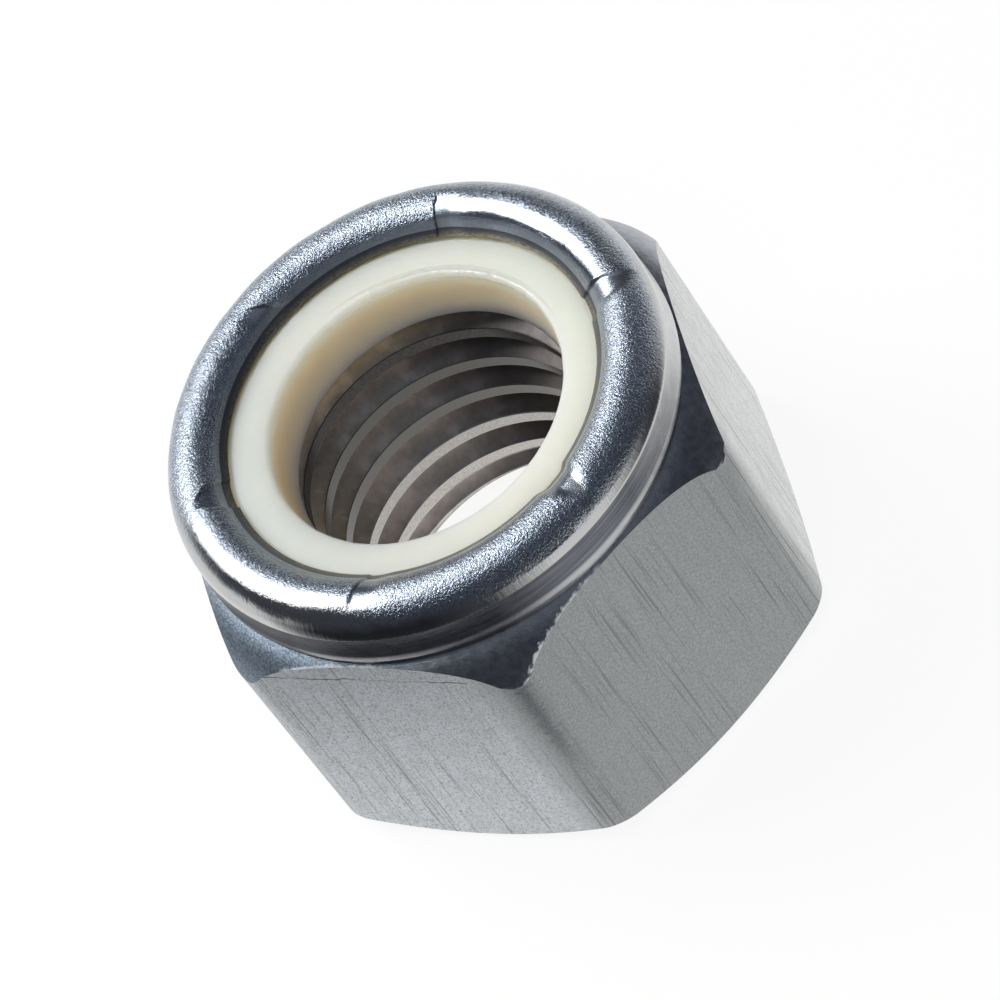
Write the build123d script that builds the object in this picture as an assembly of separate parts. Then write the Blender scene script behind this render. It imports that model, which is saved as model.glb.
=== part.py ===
from build123d import *
from math import cos, radians, sin, sqrt, tan
import os

# Nylon insert lock nut, 5/8-11 size, in millimetres.
# The frame stands on the nut's bearing face: the origin is that face's centre,
# +Z runs up the thread axis towards the nylon insert, and two hexagon corners lie on the X axis.

# Wrench hexagon
flat_count = 6
across_flats = 23.8
corner_round = 1.7            # rolled radius along each upright corner
overall_height = 18.5         # bearing face to the crest of the rolled collar
bearing_diameter = 22.6       # washer circle that the lower chamfer leaves
bearing_chamfer_angle = 33    # degrees up from the bearing face
corner_drop = 2.0             # how far the upper chamfer falls from the collar's foot to a corner
chamfer_crown = 0.3           # how far that chamfer bulges between its two ends

# Collar that was rolled over the insert, from its foot upwards
collar_setback = 0.1          # collar wall inside the flats
neck_depth = 0.05             # undercut below the bead, measured in from the wall
neck_height = 0.27
bead_height = 0.82
bead_stand = 0.06             # bead outside the collar wall, its edges bevelled by as much
wall_height = 0.86
roll_radius = 1.5             # outer side of the roll, up to its crest
shoulder_radius = 1.4         # inner side of the roll, from its crest
shoulder_sweep = 60           # degrees of that inner side
lip_end_width = 0.38          # narrow turned end of the lip, beside the nylon
lip_end_slope = 35            # degrees down towards the axis
lip_tip_height = 0.4          # tip of the lip above its underside
lip_undercut = 0.22           # underside set back from the tip
collar_wall = 1.4             # metal left between pocket and collar wall

# Crimp notches pressed into the inner shoulder of the lip
notch_count = 6
notch_turn = 4.5              # degrees past the middle of each flat
notch_punch_radius = 1.1
notch_depth = 0.24            # at the lip's edge
notch_slope = 36              # degrees up and outwards

# Thread bore, left at its minor diameter
thread_diameter = 15.875
bore_diameter = 13.5
countersink_allowance = 2.3   # mouth wider than the thread

# Nylon insert and its seat
insert_hole_diameter = 13.95  # at the top face
insert_hole_taper = 0.59      # narrower by this at the bottom face
insert_rim_thickness = 2.35   # part held under the lip
insert_crown = 0.27           # inner land standing above that part
insert_edge_bevel = 0.12
seat_clearance = 0.05         # round the rim and under the lip

# Places that follow from the sizes above
flat_radius = across_flats / 2
wall_radius = flat_radius - collar_setback
crest_radius = wall_radius - roll_radius
roll_foot = overall_height - roll_radius
bead_top = roll_foot - wall_height
bead_foot = bead_top - bead_height
collar_foot = bead_foot - neck_height
lip_edge = (
    crest_radius - shoulder_radius * sin(radians(shoulder_sweep)),
    overall_height - shoulder_radius * (1 - cos(radians(shoulder_sweep))),
)
lip_tip = (
    lip_edge[0] - lip_end_width * cos(radians(lip_end_slope)),
    lip_edge[1] - lip_end_width * sin(radians(lip_end_slope)),
)
lip_underside = lip_tip[1] - lip_tip_height
pocket_radius = wall_radius - collar_wall
pocket_floor = lip_underside - seat_clearance - insert_rim_thickness
corner_radius = flat_radius / cos(radians(180 / flat_count))
rounded_corner_radius = corner_radius - corner_round * (1 / cos(radians(180 / flat_count)) - 1)


def turned(outline):
    """Revolve a radius-height outline about the thread axis."""
    return revolve(Plane.XZ * make_face(outline), Axis.Z)


def hexagon_bar():
    """Six flats with rounded corners, up to the foot of the collar."""
    section = RegularPolygon(flat_radius, flat_count, major_radius=False)
    section = fillet(section.vertices(), corner_round)
    return extrude(section, collar_foot)


def chamfer_envelope():
    """Turned shape that takes the corners off the bar at both ends."""
    reach = corner_radius
    lower_rise = (reach - bearing_diameter / 2) * tan(radians(bearing_chamfer_angle))
    foot = (wall_radius - neck_depth, collar_foot)
    corner = (rounded_corner_radius, collar_foot - corner_drop)
    run = corner[0] - foot[0]
    length = sqrt(run**2 + corner_drop**2)
    crown_point = (
        (foot[0] + corner[0]) / 2 + chamfer_crown * corner_drop / length,
        (foot[1] + corner[1]) / 2 + chamfer_crown * run / length,
    )
    fall = ThreePointArc(corner, crown_point, foot)
    beyond = (reach, corner[1] - (reach - corner[0]) * corner_drop / run)
    lower_side = Polyline((0, 0), (bearing_diameter / 2, 0), (reach, lower_rise), beyond, corner)
    return turned(lower_side + fall + Polyline(foot, (0, collar_foot), (0, 0)))


def rolled_collar():
    """Neck, bead, wall and the lip rolled in over the insert."""
    neck_radius = wall_radius - neck_depth
    bead_radius = wall_radius + bead_stand
    outline = Polyline(
        (pocket_radius, pocket_floor),
        (pocket_radius, lip_underside),
        (lip_tip[0] + lip_undercut, lip_underside),
        lip_tip,
        lip_edge,
    )
    shoulder_centre = (crest_radius, overall_height - shoulder_radius)
    outline += CenterArc(shoulder_centre, shoulder_radius, 90, shoulder_sweep)
    outline += CenterArc((crest_radius, roll_foot), roll_radius, 0, 90)
    outline += Polyline(
        (wall_radius, roll_foot),
        (wall_radius, bead_top),
        (bead_radius, bead_top - bead_stand),
        (bead_radius, bead_foot + bead_stand + neck_depth),
        (neck_radius, bead_foot),
        (neck_radius, pocket_floor),
        (pocket_radius, pocket_floor),
    )
    return turned(outline)


def insert_pocket():
    """Counterbore in the body that the insert drops into."""
    depth = collar_foot - pocket_floor
    return Pos(0, 0, pocket_floor) * Cylinder(
        pocket_radius, depth, align=(Align.CENTER, Align.CENTER, Align.MIN)
    )


def thread_bore():
    """Through bore with its countersunk mouth at the bearing face."""
    bore_radius = bore_diameter / 2
    mouth_radius = (thread_diameter + countersink_allowance) / 2
    return turned(
        Polyline(
            (0, 0),
            (mouth_radius, 0),
            (bore_radius, mouth_radius - bore_radius),
            (bore_radius, pocket_floor),
            (0, pocket_floor),
            (0, 0),
        )
    )


def crimp_notches():
    """Round-nosed punch marks from the lip's edge out to the crest of the roll."""
    punch = Rot(0, 90 - notch_slope, 0) * Cylinder(notch_punch_radius, 2 * collar_wall)
    lift_along_radius = notch_punch_radius * sin(radians(notch_slope))
    lift_up = notch_punch_radius * cos(radians(notch_slope))
    punch = Pos(lip_edge[0] - lift_along_radius, 0, lip_edge[1] - notch_depth + lift_up) * punch
    step = 360 / notch_count
    first = 180 / flat_count + notch_turn
    return [Rot(0, 0, first + step * mark) * punch for mark in range(notch_count)]


def hex_body():
    """Steel nut body: one turned, tapped and rolled piece."""
    body = hexagon_bar() & chamfer_envelope()
    body -= insert_pocket()
    body += rolled_collar()
    body -= thread_bore()
    body -= crimp_notches()
    return body.clean()


def nylon_insert():
    """Nylon ring that seats on the pocket floor and is held under the lip."""
    rim_radius = pocket_radius - seat_clearance
    rim_top = pocket_floor + insert_rim_thickness
    land_radius = lip_tip[0] + lip_undercut - seat_clearance
    land_edge = land_radius - lip_undercut
    top = rim_top + insert_crown
    hole_top = insert_hole_diameter / 2
    hole_bottom = hole_top - insert_hole_taper / 2
    outline = Polyline(
        (hole_bottom, pocket_floor),
        (rim_radius, pocket_floor),
        (rim_radius, rim_top),
        (land_radius, rim_top),
        (land_edge, top),
        (hole_top, top),
        (hole_bottom, pocket_floor),
    )
    ring = turned(outline)
    hole_edge = ring.edges().filter_by(GeomType.CIRCLE).group_by(Axis.Z)[-1].sort_by(SortBy.RADIUS)[0]
    return chamfer(hole_edge, insert_edge_bevel)


os.makedirs("parts", exist_ok=True)
export_step(hex_body(), "parts/hex_body.step")
export_step(nylon_insert(), "parts/nylon_insert.step")
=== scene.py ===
from functools import partial
from math import atan2, cos, degrees, pi, radians, sin, tan
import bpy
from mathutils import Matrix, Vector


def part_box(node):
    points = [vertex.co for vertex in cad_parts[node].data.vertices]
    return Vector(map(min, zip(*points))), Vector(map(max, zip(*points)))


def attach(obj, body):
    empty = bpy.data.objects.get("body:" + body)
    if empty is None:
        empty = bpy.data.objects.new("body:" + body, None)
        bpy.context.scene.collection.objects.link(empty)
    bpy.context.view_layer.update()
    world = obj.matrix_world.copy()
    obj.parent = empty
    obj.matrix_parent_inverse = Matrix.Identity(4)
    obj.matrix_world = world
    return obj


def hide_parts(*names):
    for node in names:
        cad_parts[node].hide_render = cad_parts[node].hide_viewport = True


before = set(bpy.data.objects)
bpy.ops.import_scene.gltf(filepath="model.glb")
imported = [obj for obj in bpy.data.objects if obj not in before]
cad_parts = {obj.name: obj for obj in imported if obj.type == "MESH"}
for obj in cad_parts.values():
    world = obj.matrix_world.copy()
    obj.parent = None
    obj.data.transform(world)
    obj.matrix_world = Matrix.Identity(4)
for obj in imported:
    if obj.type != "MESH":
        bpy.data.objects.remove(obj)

from types import SimpleNamespace

import bpy
from mathutils import Euler, Matrix, Vector, noise

# sizes are in mm and turned to metres by mm; azimuths and turns are in degrees, anticlockwise from +X
mm = 0.001
weldGap = 0.002 * mm
smoothAngle = radians(28)             # edges sharper than this stay sharp
hair = 0.01                           # slack in mm when a place is tested
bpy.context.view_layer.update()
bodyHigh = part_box("hex_body")[1]
ringLow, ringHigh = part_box("nylon_insert")
flatRadius = bodyHigh.y / mm          # centre to a wrench flat
nutHeight = bodyHigh.z / mm
ringFloor = ringLow.z / mm            # pocket floor, where the nylon sits
ringTop = ringHigh.z / mm


def deselectAll():
    if bpy.context.mode != "OBJECT":
        bpy.ops.object.mode_set(mode="OBJECT")
    bpy.ops.object.select_all(action="DESELECT")


def editOnly(obj, selectMode="VERT"):
    deselectAll()
    obj.select_set(True)
    bpy.context.view_layer.objects.active = obj
    bpy.ops.object.mode_set(mode="EDIT")
    bpy.ops.mesh.select_mode(type=selectMode)


def applyModifier(obj, kind, **settings):
    deselectAll()
    obj.select_set(True)
    bpy.context.view_layer.objects.active = obj
    modifier = obj.modifiers.new(kind.lower(), kind)
    for name, value in settings.items():
        setattr(modifier, name, value)
    bpy.ops.object.modifier_apply(modifier=modifier.name)


def combine(obj, other, operation):
    applyModifier(obj, "BOOLEAN", operation=operation, solver="EXACT", object=other)
    bpy.data.objects.remove(other)


def startOutline(name, point):
    # a plane shrunk to its first corner, ready to be drawn out point by point
    deselectAll()
    bpy.ops.mesh.primitive_plane_add(size=mm)
    obj = bpy.context.active_object
    obj.name = obj.data.name = name
    editOnly(obj)
    bpy.ops.mesh.select_all(action="SELECT")
    bpy.ops.mesh.merge(type="CENTER")
    bpy.ops.transform.translate(value=(point[0] * mm, 0, point[1] * mm))
    return obj


def lineTo(start, *points):
    for point in points:
        step = ((point[0] - start[0]) * mm, 0, (point[1] - start[1]) * mm)
        bpy.ops.mesh.extrude_vertices_move(TRANSFORM_OT_translate={"value": step})
        start = point
    return start


def arcTo(start, centre, turn, steps):
    # turn is in degrees, anticlockwise with radius to the right and height up
    middle = (centre[0] * mm, 0, centre[1] * mm)
    bpy.ops.mesh.spin(steps=steps, angle=-radians(turn), center=middle, axis=(0, -1, 0))
    x = start[0] - centre[0]
    z = start[1] - centre[1]
    c = cos(radians(turn))
    s = sin(radians(turn))
    return centre[0] + x * c - z * s, centre[1] + x * s + z * c


def spinSolid(stretches):
    # turns the closed outline that is being edited all the way round, in stretches of (degrees, steps)
    bpy.ops.mesh.select_all(action="SELECT")
    bpy.ops.mesh.remove_doubles(threshold=weldGap)
    for turn, steps in stretches:
        bpy.ops.mesh.spin(steps=steps, angle=-radians(turn), center=(0, 0, 0), axis=(0, 0, 1))
    bpy.ops.mesh.select_all(action="SELECT")
    bpy.ops.mesh.remove_doubles(threshold=weldGap)
    bpy.ops.mesh.normals_make_consistent(inside=False)
    bpy.ops.object.mode_set(mode="OBJECT")


def smoothByAngle(obj):
    deselectAll()
    obj.select_set(True)
    bpy.context.view_layer.objects.active = obj
    bpy.ops.object.shade_smooth_by_angle(angle=smoothAngle)


def smoothStep(low, high, value):
    t = min(max((value - low) / (high - low), 0), 1)
    return t * t * (3 - 2 * t)


def direction(azimuth, elevation=0):
    a = radians(azimuth)
    e = radians(elevation)
    return Vector((cos(a) * cos(e), sin(a) * cos(e), sin(e)))


print("helpers ready")


body = dict(
    cornerRound=1.7,            # rolled radius of the upright corners
    cornerSteps=16,
    bearingRadius=11.3,
    bearingChamfer=33,          # degrees
    chamferDrop=2.0,            # collar foot down to a corner's tip
    chamferCrown=0.3,
    collarSetback=0.1,
    neckDepth=0.05,
    neckHeight=0.27,
    beadHeight=0.82,
    beadStand=0.06,
    beadFade=0.3,               # height over which the bead dies away into the wall
    wallHeight=0.86,
    rollRadius=1.5,
    shoulderRadius=1.4,
    shoulderSweep=60,
    lipEnd=0.38,
    lipEndSlope=35,
    lipTipHeight=0.4,
    lipUndercut=0.22,
    collarWall=1.4,
    boreRadius=6.75,
    mouthRadius=9.0875,
    leadIn=((6.75, 5.3), (6.86, 4.0), (7.2, 1.8875)),   # bore widening from thread to countersink
    rollSteps=32,
    chamferSteps=14,
    blankMargin=0.4,            # how far the turned blank stands beyond the bar's corners
    blankShoulder=1.2,          # and how far it does so below their tips
    notchCount=6,
    notchTurn=4.5,              # degrees past the middle of each flat
    notchZone=14,               # degrees of fine steps round each crimp notch
    notchZoneSteps=60,
    plainSteps=36,
)

wallRadius = flatRadius - body["collarSetback"]
crestRadius = wallRadius - body["rollRadius"]
rollFoot = nutHeight - body["rollRadius"]
beadTop = rollFoot - body["wallHeight"]
beadFoot = beadTop - body["beadHeight"]
collarFoot = beadFoot - body["neckHeight"]
neckRadius = wallRadius - body["neckDepth"]
pocketRadius = wallRadius - body["collarWall"]
cornerRadius = flatRadius / cos(pi / 6)
roundedCorner = cornerRadius - body["cornerRound"] * (1 / cos(pi / 6) - 1)
notchStep = 360 / body["notchCount"]
firstNotch = 30 + body["notchTurn"]


def chamferArc():
    # start, centre and sweep of the bulged chamfer, from a corner's tip up to the collar's foot
    tip = Vector((roundedCorner, collarFoot - body["chamferDrop"]))
    foot = Vector((neckRadius, collarFoot))
    chord = foot - tip
    rise = body["chamferCrown"]
    radius = (chord.length ** 2 / 4 + rise ** 2) / (2 * rise)
    inward = Vector((-chord.y, chord.x)).normalized()
    centre = (tip + foot) / 2 + inward * (radius - rise)
    return tip, centre, degrees((foot - centre).angle(tip - centre))


def turnedBlank():
    # the nut's whole section, from the countersink's mouth out, up, over the lip and down the bore
    steps = body["rollSteps"]
    outside = cornerRadius + body["blankMargin"]
    lowerRise = (outside - body["bearingRadius"]) * tan(radians(body["bearingChamfer"]))
    tip, chamferCentre, chamferTurn = chamferArc()
    start = (body["mouthRadius"], 0)
    blank = startOutline("steelBody", start)
    at = lineTo(start, (body["bearingRadius"], 0), (outside, lowerRise),
                (outside, tip.y - body["blankShoulder"]), tuple(tip))
    at = arcTo(at, chamferCentre, chamferTurn, body["chamferSteps"])
    bevel = body["beadStand"]
    beadRadius = wallRadius + bevel
    at = lineTo(at, (neckRadius, beadFoot), (beadRadius, beadFoot + bevel + body["neckDepth"]),
                (beadRadius, beadTop - body["beadFade"]), (wallRadius, beadTop), (wallRadius, rollFoot))
    at = arcTo(at, (crestRadius, rollFoot), 90, steps)
    at = arcTo(at, (crestRadius, nutHeight - body["shoulderRadius"]), body["shoulderSweep"], steps * 2 // 3)
    slope = radians(body["lipEndSlope"])
    lipTip = (at[0] - body["lipEnd"] * cos(slope), at[1] - body["lipEnd"] * sin(slope))
    underside = lipTip[1] - body["lipTipHeight"]
    lineTo(at, lipTip, (lipTip[0] + body["lipUndercut"], underside), (pocketRadius, underside),
           (pocketRadius, ringFloor), (body["boreRadius"], ringFloor), *body["leadIn"], start)
    spinSolid(((body["notchZone"], body["notchZoneSteps"]),
               (notchStep - body["notchZone"], body["plainSteps"])) * body["notchCount"])
    blank.rotation_euler.z = radians(firstNotch - body["notchZone"] / 2)
    bpy.ops.object.transform_apply(location=False, rotation=True, scale=False)
    return blank, at, lipTip


def hexagonBar():
    # stands from below the bearing face to above the collar, so that only its sides cut the blank
    deselectAll()
    bpy.ops.mesh.primitive_cylinder_add(vertices=6, radius=cornerRadius * mm, depth=2 * nutHeight * mm,
                                        rotation=(0, 0, pi / 6))
    bar = bpy.context.active_object
    bpy.ops.object.transform_apply(location=True, rotation=True, scale=True)
    editOnly(bar, "EDGE")
    bpy.ops.mesh.select_all(action="DESELECT")
    bpy.ops.object.mode_set(mode="OBJECT")
    for edge in bar.data.edges:
        a, b = (bar.data.vertices[i].co for i in edge.vertices)
        edge.select = abs(a.z - b.z) > nutHeight * mm
    bpy.ops.object.mode_set(mode="EDIT")
    setback = body["cornerRound"] * tan(pi / 6) * mm
    bpy.ops.mesh.bevel(offset=setback, segments=body["cornerSteps"], profile=0.5)
    bpy.ops.object.mode_set(mode="OBJECT")
    return bar


steelBody, lipEdge, lipTip = turnedBlank()
combine(steelBody, hexagonBar(), "INTERSECT")
print("steel body turned:", len(steelBody.data.polygons), "faces")


# thread: the groove between two crests, swept up the bore and cut away
thread = dict(
    pitch=25.4 / 11,
    majorRadius=15.875 / 2,
    flankAngle=30,
    rootFlat=0.125,             # share of the pitch
    startHeight=2.234,          # a groove's middle where it crosses the X axis
    turnsBelow=2,               # turns that start under that height
    turns=8,
    stepsPerTurn=180,
    cutterOverlap=0.3,          # how far the cutter reaches inside the bore
)


def threadCutter():
    pitch = thread["pitch"]
    inner = body["boreRadius"] - thread["cutterOverlap"]
    halfRoot = pitch * thread["rootFlat"] / 2
    halfMouth = halfRoot + (thread["majorRadius"] - inner) * tan(radians(thread["flankAngle"]))
    low = thread["startHeight"] - thread["turnsBelow"] * pitch
    start = (inner, low - halfMouth)
    cutter = startOutline("threadCutter", start)
    lineTo(start, (thread["majorRadius"], low - halfRoot), (thread["majorRadius"], low + halfRoot),
           (inner, low + halfMouth), start)
    bpy.ops.mesh.select_all(action="SELECT")
    bpy.ops.mesh.remove_doubles(threshold=weldGap)
    bpy.ops.mesh.edge_face_add()
    bpy.ops.object.mode_set(mode="OBJECT")
    applyModifier(cutter, "SCREW", angle=2 * pi, screw_offset=pitch * mm, iterations=thread["turns"],
                  steps=thread["stepsPerTurn"], render_steps=thread["stepsPerTurn"], axis="Z",
                  use_merge_vertices=True, merge_threshold=weldGap)
    editOnly(cutter)
    bpy.ops.mesh.select_all(action="SELECT")
    bpy.ops.mesh.normals_make_consistent(inside=False)
    bpy.ops.object.mode_set(mode="OBJECT")
    return cutter


combine(steelBody, threadCutter(), "DIFFERENCE")
editOnly(steelBody)
bpy.ops.mesh.select_all(action="SELECT")
bpy.ops.mesh.remove_doubles(threshold=weldGap)
bpy.ops.mesh.dissolve_degenerate(threshold=weldGap)
bpy.ops.object.mode_set(mode="OBJECT")
print("thread cut:", len(steelBody.data.polygons), "faces")


# where the lip was pressed over the ring the roll has dishes, some with crisp sides and creases
# low and high are a dish's sides in mm round the crest, from the mark's own place, and lean is how much they
# shift per degree of the roll's section, which is 150 at the lip's edge, 90 at the crest and 0 at the wall;
# walls are the sides' widths, reach is where the dish ends on the roll, narrowed to its taper there,
# droop is extra depth at the lip, and polish is how smooth the dish was pressed, up to 1
crimpMarks = (
    dict(mark=0, low=-0.60, high=0.60, lean=(0, 0), walls=(1.10, 0.09), depth=0.060,
         reach=(94, 76), taper=0.9, droop=0.04, polish=1),
    dict(mark=1, low=-0.35, high=0.85, lean=(-0.025, 0), walls=(0.16, 1.2), depth=0.09,
         reach=(118, 88), taper=0.6, droop=0, polish=0.6),
    dict(mark=2, low=-0.72, high=0.50, lean=(-0.012, 0.004), walls=(0.18, 0.12), depth=0.12,
         reach=(106, 76), taper=0.5, droop=0, polish=0.6),
    dict(mark=3, low=-0.25, high=0.85, lean=(0.005, 0), walls=(0.22, 0.90), depth=0.06,
         reach=(88, 58), taper=0.8, droop=0.01, polish=1),
    dict(mark=4, low=-0.90, high=0.70, lean=(0, 0.003), walls=(0.80, 0.60), depth=0.14,
         reach=(84, 32), taper=0.4, droop=0.02, polish=1),
    dict(mark=5, low=-0.95, high=0.50, lean=(0, 0.004), walls=(0.70, 0.30), depth=0.09,
         reach=(92, 24), taper=0.4, droop=0, polish=1),
)


def rollPoint(co):
    # radius, turn round the nut and angle round the roll's section, in mm and degrees
    radius = Vector((co.x, co.y)).length / mm
    height = co.z / mm
    centre = rollFoot if radius > crestRadius else nutHeight - body["shoulderRadius"]
    return radius, degrees(atan2(co.y, co.x)), degrees(atan2(height - centre, radius - crestRadius))


# places on the roll's section, in degrees, and the skin left between the marks
rollSkin = dict(
    leanFrom=110,               # where a mark's sides have the places given above
    taperFrom=120,
    droop=(85, 160),
    softWall=0.18,              # half-width in mm from which a side holds no crease
    lumpsPerMm=0.55,
    lumpDepth=0.030,
    ripplesPerMm=1.7,
    rippleDepth=0.010,
    sink=0.025,                 # mean depth in mm, so that no lump stands out of the roll
    fadeIn=(5, 40),             # from the wall up
    fadeOut=(152, 140),         # and from the lip's edge down
    lipSection=150,
)


def crimpDepth(turn, section):
    # depth in mm, how far inside a dish the place is and how much in one of its sharp creases, from 0 to 1
    depth = inside = crease = 0
    for mark in crimpMarks:
        middle = firstNotch + mark["mark"] * notchStep
        along = radians((turn - middle + 180) % 360 - 180) * crestRadius
        narrow = 1 - (1 - mark["taper"]) * smoothStep(rollSkin["taperFrom"], mark["reach"][1], section)
        low = (mark["low"] + mark["lean"][0] * (section - rollSkin["leanFrom"])) * narrow
        high = (mark["high"] + mark["lean"][1] * (section - rollSkin["leanFrom"])) * narrow
        lowWall, highWall = (wall / 2 for wall in mark["walls"])
        pastLow = smoothStep(low - lowWall, low + lowWall, along)
        beforeHigh = smoothStep(high + highWall, high - highWall, along)
        across = pastLow * beforeHigh
        out = smoothStep(mark["reach"][1], mark["reach"][0], section)
        depth += across * (mark["depth"] * out + mark["droop"] * smoothStep(*rollSkin["droop"], section))
        inside += across * out * mark["polish"]
        for part, wall in ((pastLow, lowWall), (beforeHigh, highWall)):
            crease += 4 * part * (1 - part) * out * max(1 - wall / rollSkin["softWall"], 0)
    return depth, min(inside, 1), min(crease, 1)


def pressCollar(obj):
    # the roll's small lumps and its crimp marks, pushed in along the section's own radius; the roll's finish
    # reads how far a place was pressed and creased
    pressed = obj.data.attributes.new("pressed", "FLOAT", "POINT")
    creased = obj.data.attributes.new("creased", "FLOAT", "POINT")
    for vertex in obj.data.vertices:
        co = vertex.co
        radius, turn, section = rollPoint(co)
        if co.z / mm < rollFoot or radius < lipTip[0] - hair or section < -1 or co.z / mm < lipTip[1] - hair:
            continue
        if radius < lipEdge[0]:
            section = rollSkin["lipSection"]
        lump = noise.noise(co / mm * rollSkin["lumpsPerMm"]) * rollSkin["lumpDepth"]
        lump += noise.noise(co / mm * rollSkin["ripplesPerMm"]) * rollSkin["rippleDepth"]
        depth, inside, crease = crimpDepth(turn, section)
        pressed.data[vertex.index].value = inside
        creased.data[vertex.index].value = crease
        skin = smoothStep(*rollSkin["fadeIn"], section) * smoothStep(*rollSkin["fadeOut"], section)
        push = depth + (rollSkin["sink"] + lump) * skin
        vertex.co = co - direction(turn, section) * push * mm


pressCollar(steelBody)
smoothByAngle(steelBody)
applyModifier(steelBody, "WEIGHTED_NORMAL", keep_sharp=True)
print("collar crimped:", len(steelBody.data.polygons), "faces")


ring = dict(
    holeRadius=6.975,
    holeTaper=0.295,
    edgeRound=0.22,
    edgeSteps=6,
    landBevel=0.12,             # outer edge of the land that stands above the lip's underside
    landDrop=0.05,
    clearance=0.05,             # round the rim and under the lip
    aroundSteps=240,
    holeShift=(0.0, -0.12),     # the hole sits a little off the axis
    edgeWobble=0.03,            # unevenness of the hole's rounded edge
    wobblesPerMm=1.3,
)


def nylonRing():
    rim = pocketRadius - ring["clearance"]
    underside = lipTip[1] - body["lipTipHeight"] - ring["clearance"]
    landEdge = lipTip[0] - ring["clearance"]
    bottom = ring["holeRadius"] - ring["holeTaper"]
    edge = ring["edgeRound"]
    start = (bottom, ringFloor)
    obj = startOutline("nylonRing", start)
    at = lineTo(start, (rim, ringFloor), (rim, underside), (landEdge + body["lipUndercut"], underside),
                (landEdge, ringTop - ring["landDrop"]), (landEdge - ring["landBevel"], ringTop),
                (ring["holeRadius"] + edge, ringTop))
    at = arcTo(at, (ring["holeRadius"] + edge, ringTop - edge), 90, ring["edgeSteps"])
    lineTo(at, start)
    spinSolid(((360, ring["aroundSteps"]),))
    for vertex in obj.data.vertices:
        radius = Vector((vertex.co.x, vertex.co.y)).length / mm
        if radius < ring["holeRadius"] + edge + hair:
            onEdge = smoothStep(ringTop - 2 * edge, ringTop - edge / 2, vertex.co.z / mm)
            wobble = noise.noise(vertex.co / mm * ring["wobblesPerMm"]) * ring["edgeWobble"] * onEdge
            vertex.co.z += min(wobble, 0) * 0.5 * mm
            scale = 1 + wobble / radius
            vertex.co.x = vertex.co.x * scale + ring["holeShift"][0] * mm
            vertex.co.y = vertex.co.y * scale + ring["holeShift"][1] * mm
    smoothByAngle(obj)
    return obj


nylon = nylonRing()
print("nylon ring turned:", len(nylon.data.polygons), "faces")


def hexColour(code):
    # sRGB hex to the linear values that the shader wants
    parts = [int(code[i:i + 2], 16) / 255 for i in (1, 3, 5)]
    return [c / 12.92 if c <= 0.04045 else ((c + 0.055) / 1.055) ** 2.4 for c in parts] + [1.0]


def connect(node, links):
    # links: input name or number -> a socket, or a node, which gives its first live output
    for name, source in links.items():
        if isinstance(source, bpy.types.Node):
            source = next(socket for socket in source.outputs if socket.enabled)
        node.id_data.links.new(source, node.inputs[name])


def addNode(tree, kind, settings=None, links=None):
    # settings: property, input name or input number -> value, where a colour is a hex code
    node = tree.nodes.new("ShaderNode" + kind)
    for name, value in (settings or {}).items():
        if isinstance(name, str) and name not in node.inputs:
            setattr(node, name, value)
    for name, value in (settings or {}).items():
        if not isinstance(name, str) or name in node.inputs:
            node.inputs[name].default_value = hexColour(value) if isinstance(value, str) else value
    connect(node, links or {})
    return node


def emptyTree(owner):
    # clears the nodes of a material or the world, and gives back what adds one to them
    owner.use_nodes = True
    owner.node_tree.nodes.clear()
    return partial(addNode, owner.node_tree)


def newMaterial(name, **shaderValues):
    # gives back what adds a node to it, its shader, and the places that patterns read, in mm: x, y, height
    # and radius, the turn round the nut, the outward direction, and the place carried to a circle as wide
    # as the crest
    material = bpy.data.materials.new(name)
    add = emptyTree(material)
    shader = add("BsdfPrincipled")
    for key, value in shaderValues.items():
        shader.inputs[key.replace("_", " ")].default_value = value
    add("OutputMaterial", None, {"Surface": shader})
    place = add("TexCoord").outputs["Object"]
    inMm = add("VectorMath", {"operation": "SCALE", "Scale": 1 / mm}, {0: place})
    x, y, height = add("SeparateXYZ", None, {0: inMm}).outputs
    flat = add("CombineXYZ", None, {0: x, 1: y})
    radius = add("VectorMath", {"operation": "LENGTH"}, {0: flat})
    turn = add("Math", {"operation": "ARCTAN2"}, {0: y, 1: x})
    outward = add("VectorMath", {"operation": "NORMALIZE"}, {0: flat})
    around = add("VectorMath", {"operation": "SCALE", "Scale": crestRadius}, {0: outward})
    at = SimpleNamespace(mm=inMm, x=x, y=y, height=height, radius=radius, turn=turn, outward=outward,
                         around=around)
    return material, add, shader, at


def facing(add, at, azimuth, start, full, away=0, towards=1):
    # from away to towards as a place turns to one side of the nut; start and full are cosines from that side
    side = add("VectorMath", {"operation": "DOT_PRODUCT", 1: direction(azimuth)}, {0: at.outward})
    return add("MapRange", {1: start, 2: full, 3: away, 4: towards}, {0: side.outputs["Value"]})


def coats(add, base, *layers):
    # colours laid one over the other, each where its share says
    for colour, share in layers:
        base = add("Mix", {"data_type": "RGBA", 7: colour}, {0: share, 6: base})
    return base


def perMm(across, along=None):
    # a pattern's scale from its size in mm, or from its sizes across and up the nut
    return 1 / across if along is None else (1 / across, 1 / across, 1 / along)


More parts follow.
